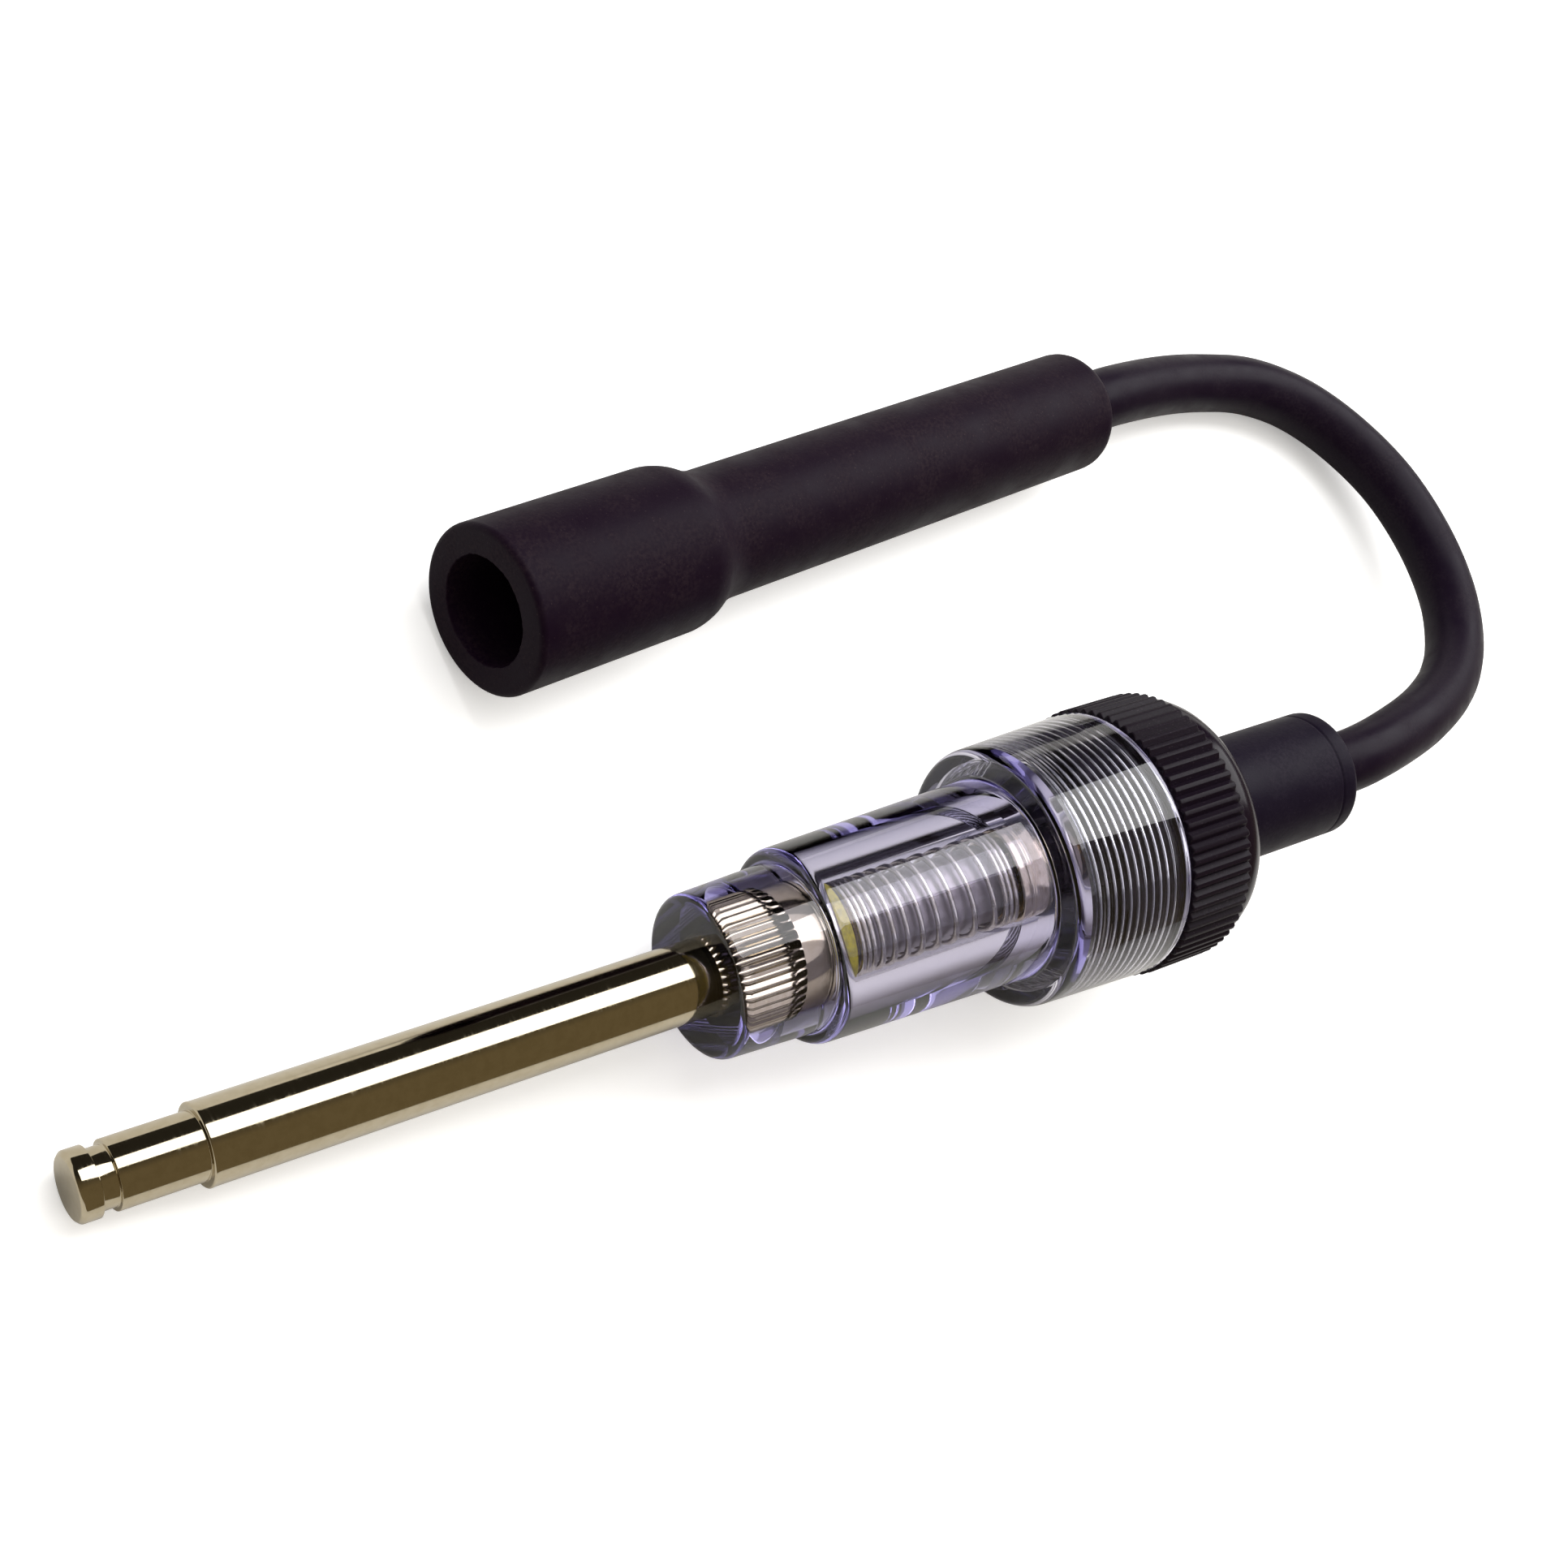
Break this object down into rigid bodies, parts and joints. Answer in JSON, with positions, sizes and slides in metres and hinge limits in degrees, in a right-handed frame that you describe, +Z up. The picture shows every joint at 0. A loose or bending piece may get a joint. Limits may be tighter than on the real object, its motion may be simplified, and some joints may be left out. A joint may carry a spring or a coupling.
{
  "type": "in-line ignition spark tester",
  "caption": "In-line spark tester: metal probe, clear housing with a lamp inside a spring, ribbed screw cap, rubber sleeve and a short black lead to a spark-plug boot.",
  "frame": {"origin": "on the surface that the tester lies on, under the middle of the tester without its lead and boot", "axes": "+X runs level from the probe's tip towards the sleeve, +Y towards the boot that lies beside it, +Z up; the tester's own axis rises 5.99 degrees towards the sleeve"},
  "size_m": [0.1991, 0.0706, 0.0309],
  "materials": {
    "nickel_plate": "bright nickel plate over turned brass",
    "spring_steel": "drawn steel wire",
    "clear_housing": "clear plastic with a violet tint",
    "yellow_fibre": "olive yellow insulating ring",
    "lamp_glass": "grey satin glass",
    "lamp_brass": "plain brass",
    "cap_plastic": "moulded black plastic, satin",
    "black_rubber": "moulded black rubber with a purplish sheen",
    "lead_jacket": "smooth black lead insulation",
    "conductor_copper": "stranded copper",
    "terminal_steel": "pressed plated steel"
  },
  "bodies": {
    "tester": {"probe_rod": "nickel_plate", "clear_barrel": "clear_housing", "insulating_ring": "yellow_fibre", "contact_spring": "spring_steel", "lamp_glass": "lamp_glass", "lamp_cap_front": "lamp_brass", "lamp_cap_rear": "lamp_brass", "lamp_electrode_front": "spring_steel", "lamp_electrode_rear": "spring_steel"},
    "lead_set": {"terminal_cup": "nickel_plate", "terminal_screw": "lamp_brass", "strain_relief_sleeve": "black_rubber", "lead_end_in_sleeve": "lead_jacket", "lead_conductor_in_sleeve": "conductor_copper", "ht_lead": "lead_jacket", "lead_end_in_boot": "lead_jacket", "lead_conductor_in_boot": "conductor_copper", "boot_terminal": "terminal_steel", "boot_terminal_clip": "spring_steel"},
    "cap": {"screw_cap": "cap_plastic"},
    "boot": {"plug_boot": "black_rubber"}
  },
  "joints": [
    {"name": "lead_draw", "type": "slide", "parent": "tester", "child": "lead_set", "axis": [0.9945, 0, 0.1044], "range_m": [0, 0.0065], "deforming": ["contact_spring"]},
    {"name": "cap_turn", "type": "hinge", "parent": "lead_set", "child": "cap", "pos_m": [0.04521, 0, 0.01575], "axis": [0.9945, 0, 0.1044], "range_deg": [0, 2341]},
    {"name": "boot_turn", "type": "hinge", "parent": "lead_set", "child": "boot", "pos_m": [-0.0202, 0.0397, 0.00946], "axis": [0.9939, 0.1062, -0.0294], "continuous": true}
  ],
  "couplings": [
    {"joint": "cap_turn", "follows": "lead_draw", "rad_per_m": 6283.2}
  ]
}
